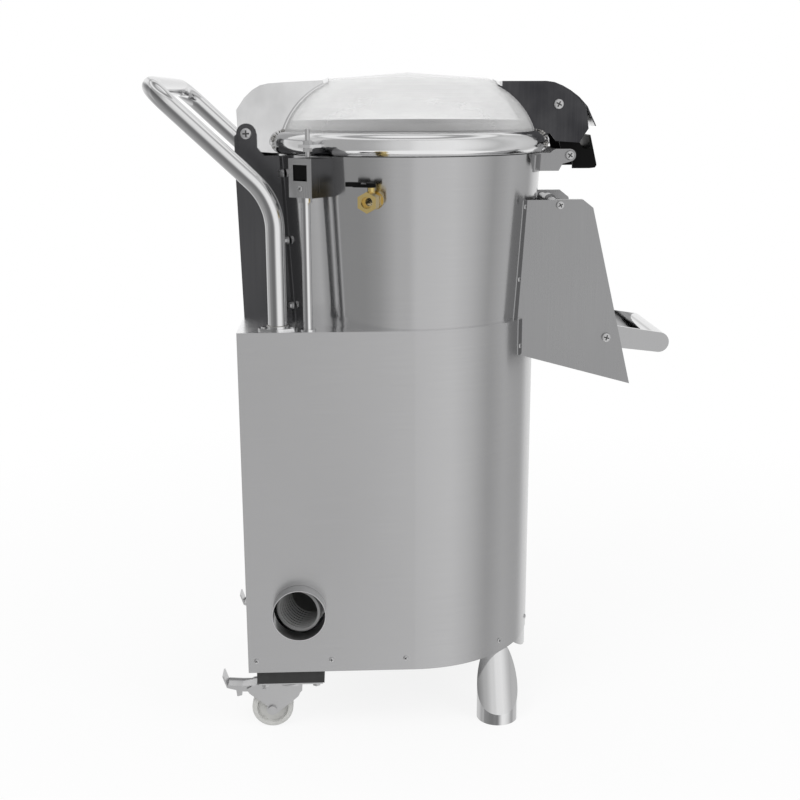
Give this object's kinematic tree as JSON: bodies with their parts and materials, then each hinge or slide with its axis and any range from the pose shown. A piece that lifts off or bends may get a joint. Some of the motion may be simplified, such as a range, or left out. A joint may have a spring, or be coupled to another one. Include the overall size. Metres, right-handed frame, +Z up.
{
  "type": "electric potato peeler",
  "caption": "Electric potato peeler: stainless drum under a hinged clear dome on a D-shaped casing, with push handle, castors, chute with door, water inlet and drain outlet.",
  "frame": {"origin": "on the floor under the middle of the whole machine's box", "axes": "+Z up, the discharge chute faces -Y and the push handle is at +Y"},
  "size_m": [0.5349, 0.909, 1.167],
  "materials": {
    "stainless": "brushed satin stainless sheet",
    "polished_stainless": "polished stainless tube",
    "zinc_steel": "zinc plated steel",
    "clear_plastic": "clear moulded polycarbonate",
    "black_plastic": "black moulded plastic",
    "white_nylon": "white nylon",
    "black_rubber": "black rubber",
    "hose_plastic": "grey ribbed hose",
    "brass": "machined brass",
    "grit": "bonded abrasive grit",
    "cast_metal": "grey painted casting",
    "motor_paint": "blue grey machine paint",
    "green_plastic": "green push button",
    "red_plastic": "red push button"
  },
  "bodies": {
    "frame": {"casing": "stainless", "base_pan": "stainless", "panel_screws": "stainless", "leg_left": "polished_stainless", "leg_right": "polished_stainless", "leg_covers": "polished_stainless", "castor_pads": "black_rubber", "castor_plates": "zinc_steel", "castor_bolts": "zinc_steel", "drum": "stainless", "drum_liner": "grit", "basin": "stainless", "drain_stub": "stainless", "drain_hose": "hose_plastic", "hose_clamps": "zinc_steel", "bearing_housing": "cast_metal", "bearings": "zinc_steel", "shaft_seal": "black_rubber", "drive_plate": "zinc_steel", "plate_posts": "zinc_steel", "motor": "motor_paint", "drive_belt": "black_rubber", "tower": "stainless", "tower_bolts": "zinc_steel", "lid_hinge_pin": "zinc_steel", "catch_bracket": "stainless", "catch_pin": "zinc_steel", "switch_box": "stainless", "microswitch": "black_plastic", "conduit_post": "stainless", "push_handle": "polished_stainless", "handle_feet": "stainless", "inlet_valve": "brass", "chute": "stainless", "chute_pins": "zinc_steel", "button_bezels": "zinc_steel", "cable_gland": "black_plastic"},
    "lid": {"lid_ring": "stainless", "dome": "clear_plastic", "dome_seat_ring": "stainless", "rear_hood": "stainless", "front_hood": "stainless", "latch_pin": "zinc_steel", "actuator_bolt": "zinc_steel"},
    "latch": {"latch_handle": "black_plastic"},
    "disc": {"disc_shaft": "zinc_steel", "driven_pulley": "cast_metal", "peeling_disc": "grit"},
    "motor_rotor": {"motor_pulley": "cast_metal"},
    "valve_handle": {"valve_lever": "black_plastic"},
    "door": {"chute_door": "stainless"},
    "lever": {"lock_lever": "polished_stainless"},
    "castor_left": {"castor_fork_left": "zinc_steel"},
    "castor_right": {"castor_fork_right": "zinc_steel"},
    "wheel_left": {"castor_wheel_left": "white_nylon"},
    "wheel_right": {"castor_wheel_right": "white_nylon"},
    "pedal_left": {"brake_pedal_left": "zinc_steel"},
    "pedal_right": {"brake_pedal_right": "zinc_steel"},
    "start": {"start_button": "green_plastic"},
    "stop": {"stop_button": "red_plastic"}
  },
  "joints": [
    {"name": "lid_hinge", "type": "hinge", "parent": "frame", "child": "lid", "pos_m": [0.01457, 0.296, 1.064], "axis": [-1, 0, 0], "range_deg": [0, 85]},
    {"name": "latch_pivot", "type": "hinge", "parent": "lid", "child": "latch", "pos_m": [0.01457, -0.247, 1.112], "axis": [-1, 0, 0], "range_deg": [-3, 25]},
    {"name": "disc_spin", "type": "hinge", "parent": "frame", "child": "disc", "pos_m": [0.01457, 0.012, 0.6], "axis": [0, 0, 1], "continuous": true},
    {"name": "motor_spin", "type": "hinge", "parent": "frame", "child": "motor_rotor", "pos_m": [0.07458, 0.202, 0.525], "axis": [0, 0, 1], "continuous": true},
    {"name": "valve_turn", "type": "hinge", "parent": "frame", "child": "valve_handle", "pos_m": [-0.23624, 0.08392, 0.9833], "axis": [0, 0, 1], "range_deg": [0, 90]},
    {"name": "door_hinge", "type": "hinge", "parent": "frame", "child": "door", "pos_m": [0.01457, -0.246, 0.942], "axis": [-1, 0, 0], "range_deg": [0, 38]},
    {"name": "lever_pivot", "type": "hinge", "parent": "frame", "child": "lever", "pos_m": [0.01457, -0.335, 0.708], "axis": [1, 0, 0], "range_deg": [-12, 35]},
    {"name": "castor_swivel_left", "type": "hinge", "parent": "frame", "child": "castor_left", "pos_m": [-0.17142, 0.236, 0.1], "axis": [0, 0, 1], "continuous": true},
    {"name": "wheel_spin_left", "type": "hinge", "parent": "castor_left", "child": "wheel_left", "pos_m": [-0.17142, 0.272, 0.0375], "axis": [1, 0, 0], "continuous": true},
    {"name": "brake_left", "type": "hinge", "parent": "castor_left", "child": "pedal_left", "pos_m": [-0.17142, 0.286, 0.078], "axis": [-1, 0, 0], "range_deg": [0, 7]},
    {"name": "castor_swivel_right", "type": "hinge", "parent": "frame", "child": "castor_right", "pos_m": [0.20058, 0.236, 0.1], "axis": [0, 0, 1], "continuous": true},
    {"name": "wheel_spin_right", "type": "hinge", "parent": "castor_right", "child": "wheel_right", "pos_m": [0.20058, 0.272, 0.0375], "axis": [1, 0, 0], "continuous": true},
    {"name": "brake_right", "type": "hinge", "parent": "castor_right", "child": "pedal_right", "pos_m": [0.20058, 0.286, 0.078], "axis": [-1, 0, 0], "range_deg": [0, 7]},
    {"name": "start_press", "type": "slide", "parent": "frame", "child": "start", "axis": [-1, 0, 0], "range_m": [0, 0.004], "stiffness_N_per_m": 300},
    {"name": "stop_press", "type": "slide", "parent": "frame", "child": "stop", "axis": [-1, 0, 0], "range_m": [0, 0.004], "stiffness_N_per_m": 300}
  ],
  "couplings": [
    {"joint": "motor_spin", "follows": "disc_spin", "ratio": 3.4375}
  ]
}
